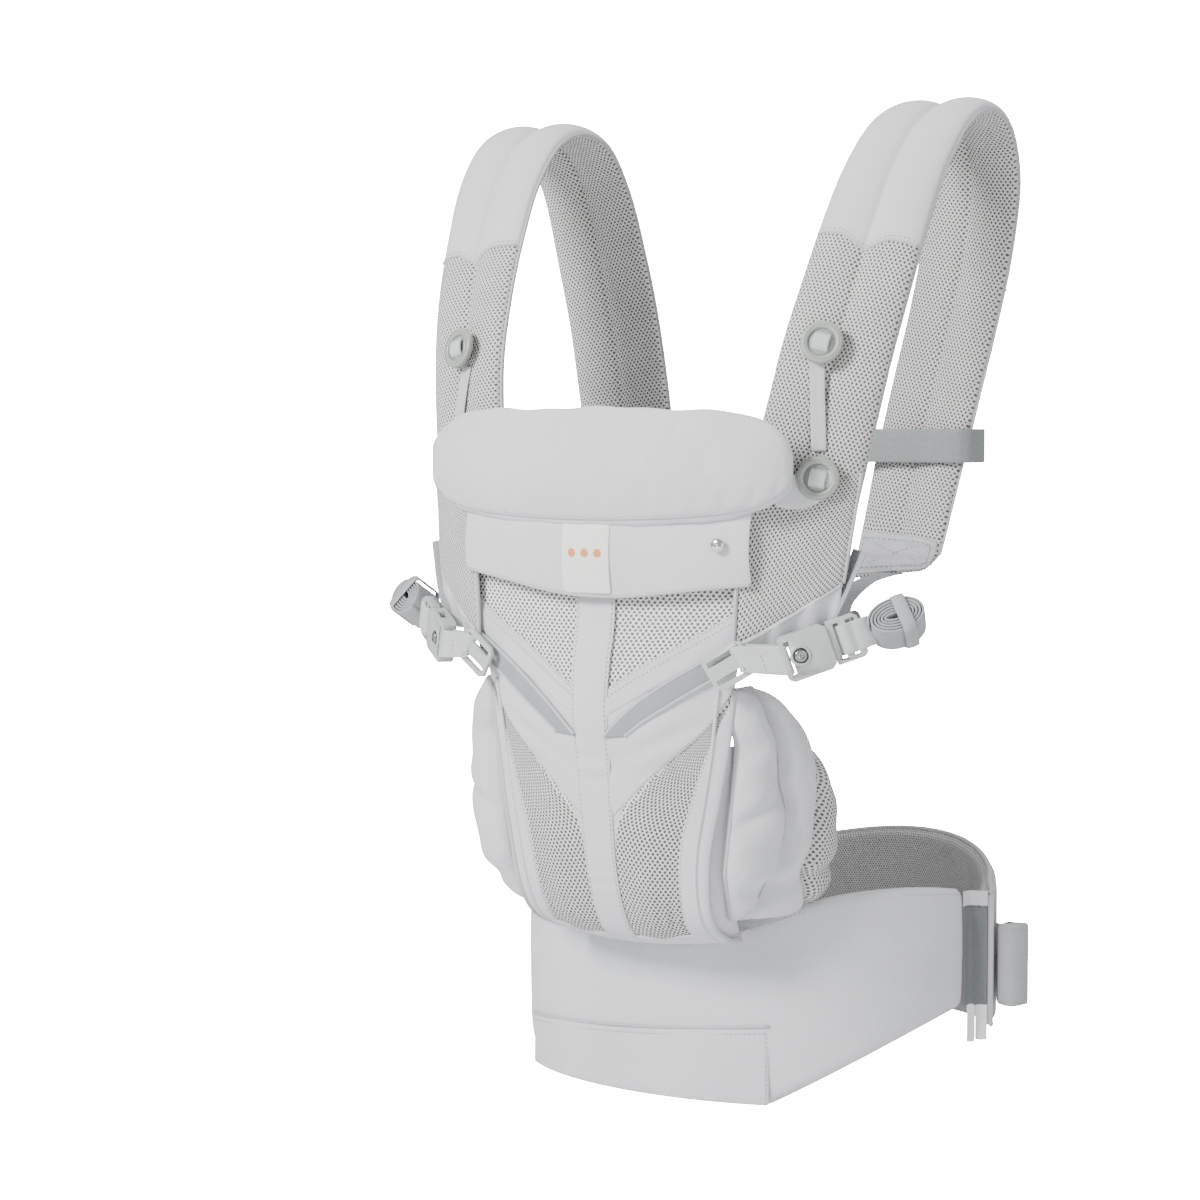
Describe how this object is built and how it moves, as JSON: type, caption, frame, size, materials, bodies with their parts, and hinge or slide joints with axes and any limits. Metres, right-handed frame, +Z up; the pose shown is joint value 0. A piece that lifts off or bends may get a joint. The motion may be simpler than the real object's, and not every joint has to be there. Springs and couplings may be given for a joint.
{
  "type": "baby carrier",
  "caption": "Soft baby carrier: curved waist belt, seat panel with mesh windows and leg pads, folded head pillow, padded shoulder straps and side-release buckles.",
  "frame": {"origin": "centre of the waist ring, level with the belt's lowest edge", "axes": "+Z up along the wearer, -Y out of the front of the seat panel, +X towards the strap on the right of the front view"},
  "size_m": [0.453, 0.3889, 0.7213],
  "materials": {
    "buckle_plastic": "moulded light grey acetal, satin",
    "chest_webbing": "25 mm woven webbing, mid grey, slight sheen",
    "dark_strip": "hook-and-loop strip end, dark grey",
    "fabric": "tightly woven light grey cotton-like cloth, matt, topstitched seams",
    "foam": "soft foam padding, not visible",
    "label": null,
    "mesh": "3-D spacer mesh with open hexagonal cells",
    "release_metal": "press button, satin metal",
    "ring_button_plastic": "moulded grey-green plastic, satin",
    "snap_metal": "domed press stud, polished",
    "webbing": "woven webbing, grey, ribbed"
  },
  "bodies": {
    "carrier": {"belt_cover": "fabric", "belt_end_strip": "dark_strip", "belt_foam": "foam", "belt_lining": "mesh", "belt_pocket": "fabric", "centre_strip": "fabric", "chest_buckle_female": "buckle_plastic", "chest_webbing_left_shoulder": "chest_webbing", "chest_webbing_right_shoulder": "chest_webbing", "hood_folded": "fabric", "hood_pocket": "fabric", "hood_snap": "snap_metal", "label_patch": "label", "leg_pad_left_shoulder": "fabric", "leg_pad_right_shoulder": "fabric", "lumbar_foam": "foam", "lumbar_mesh": "mesh", "mesh_window_lower_left_shoulder": "mesh", "mesh_window_lower_right_shoulder": "mesh", "mesh_window_upper_left_shoulder": "mesh", "mesh_window_upper_right_shoulder": "mesh", "panel_front": "fabric", "panel_lining": "mesh", "side_webbing_left_shoulder": "webbing", "side_webbing_right_shoulder": "webbing", "strap_cover_left_shoulder": "fabric", "strap_cover_right_shoulder": "fabric", "strap_foam_left_shoulder": "foam", "strap_foam_right_shoulder": "foam", "strap_lining_left_shoulder": "mesh", "strap_lining_right_shoulder": "mesh", "v_tape_left_shoulder": "webbing", "v_tape_right_shoulder": "webbing", "waist_buckle_female": "buckle_plastic", "waist_webbing": "webbing", "waist_webbing_end": "webbing", "waist_webbing_short": "webbing"},
    "pillow": {"pillow_front": "fabric", "pillow_foam": "foam", "pillow_back": "fabric", "pillow_tab_left_shoulder": "fabric", "pillow_tab_right_shoulder": "fabric"},
    "button_upper_left_shoulder": {"button_upper_left_shoulder": "ring_button_plastic"},
    "button_lower_left_shoulder": {"button_lower_left_shoulder": "ring_button_plastic"},
    "button_upper_right_shoulder": {"button_upper_right_shoulder": "ring_button_plastic"},
    "button_lower_right_shoulder": {"button_lower_right_shoulder": "ring_button_plastic"},
    "waist_buckle_tongue": {"waist_buckle_male": "buckle_plastic"},
    "chest_buckle_tongue": {"chest_buckle_male": "buckle_plastic"},
    "guide_slider_left_shoulder": {"guide_left_shoulder": "buckle_plastic", "guide_loop_left_shoulder": "webbing", "side_buckle_female_left_shoulder": "buckle_plastic"},
    "side_buckle_tongue_left_shoulder": {"side_buckle_male_left_shoulder": "buckle_plastic", "web_roll_left_shoulder": "webbing"},
    "release_button_left_shoulder": {"release_button_left_shoulder": "release_metal"},
    "guide_slider_right_shoulder": {"guide_right_shoulder": "buckle_plastic", "guide_loop_right_shoulder": "webbing", "side_buckle_female_right_shoulder": "buckle_plastic"},
    "side_buckle_tongue_right_shoulder": {"side_buckle_male_right_shoulder": "buckle_plastic", "web_roll_right_shoulder": "webbing"},
    "release_button_right_shoulder": {"release_button_right_shoulder": "release_metal"}
  },
  "joints": [
    {"name": "pillow_fold", "type": "hinge", "parent": "carrier", "child": "pillow", "pos_m": [0, -0.212, 0.5], "axis": [-1, 0, 0], "range_deg": [0, 165]},
    {"name": "tilt_button_upper_left_shoulder", "type": "hinge", "parent": "carrier", "child": "button_upper_left_shoulder", "pos_m": [0.15177, -0.16179, 0.54555], "axis": [0.9493, 0.239, -0.2043], "range_deg": [-15, 15]},
    {"name": "tilt_button_lower_left_shoulder", "type": "hinge", "parent": "carrier", "child": "button_lower_left_shoulder", "pos_m": [0.15534, -0.17298, 0.45351], "axis": [0.9284, 0.3118, -0.2023], "range_deg": [-15, 15]},
    {"name": "tilt_button_upper_right_shoulder", "type": "hinge", "parent": "carrier", "child": "button_upper_right_shoulder", "pos_m": [-0.15177, -0.16179, 0.54555], "axis": [-0.9493, 0.239, -0.2043], "range_deg": [-15, 15]},
    {"name": "tilt_button_lower_right_shoulder", "type": "hinge", "parent": "carrier", "child": "button_lower_right_shoulder", "pos_m": [-0.15534, -0.17298, 0.45351], "axis": [-0.9284, 0.3118, -0.2023], "range_deg": [-15, 15]},
    {"name": "waist_buckle_release", "type": "slide", "parent": "carrier", "child": "waist_buckle_tongue", "axis": [0.7555, 0.6551, 0], "range_m": [0, 0.03], "deforming": ["waist_webbing_end"]},
    {"name": "chest_buckle_release", "type": "slide", "parent": "carrier", "child": "chest_buckle_tongue", "axis": [-1, 0, 0], "range_m": [0, 0.025], "deforming": ["chest_webbing_right_shoulder"]},
    {"name": "guide_slide_left_shoulder", "type": "slide", "parent": "carrier", "child": "guide_slider_left_shoulder", "axis": [0.823, 0.2364, 0.5166], "range_m": [-0.014, 0.012], "deforming": ["side_webbing_left_shoulder"]},
    {"name": "side_buckle_release_left_shoulder", "type": "slide", "parent": "guide_slider_left_shoulder", "child": "side_buckle_tongue_left_shoulder", "axis": [0.76, 0.56, 0.33], "range_m": [0, 0.03], "deforming": ["side_webbing_left_shoulder"]},
    {"name": "release_press_left_shoulder", "type": "slide", "parent": "guide_slider_left_shoulder", "child": "release_button_left_shoulder", "axis": [-0.5932, 0.8051, 0], "range_m": [0, 0.0018], "stiffness_N_per_m": 800},
    {"name": "guide_slide_right_shoulder", "type": "slide", "parent": "carrier", "child": "guide_slider_right_shoulder", "axis": [-0.823, 0.2364, 0.5166], "range_m": [-0.014, 0.012], "deforming": ["side_webbing_right_shoulder"]},
    {"name": "side_buckle_release_right_shoulder", "type": "slide", "parent": "guide_slider_right_shoulder", "child": "side_buckle_tongue_right_shoulder", "axis": [-0.76, 0.56, 0.33], "range_m": [0, 0.03], "deforming": ["side_webbing_right_shoulder"]},
    {"name": "release_press_right_shoulder", "type": "slide", "parent": "guide_slider_right_shoulder", "child": "release_button_right_shoulder", "axis": [0.5932, 0.8051, 0], "range_m": [0, 0.0018], "stiffness_N_per_m": 800}
  ]
}
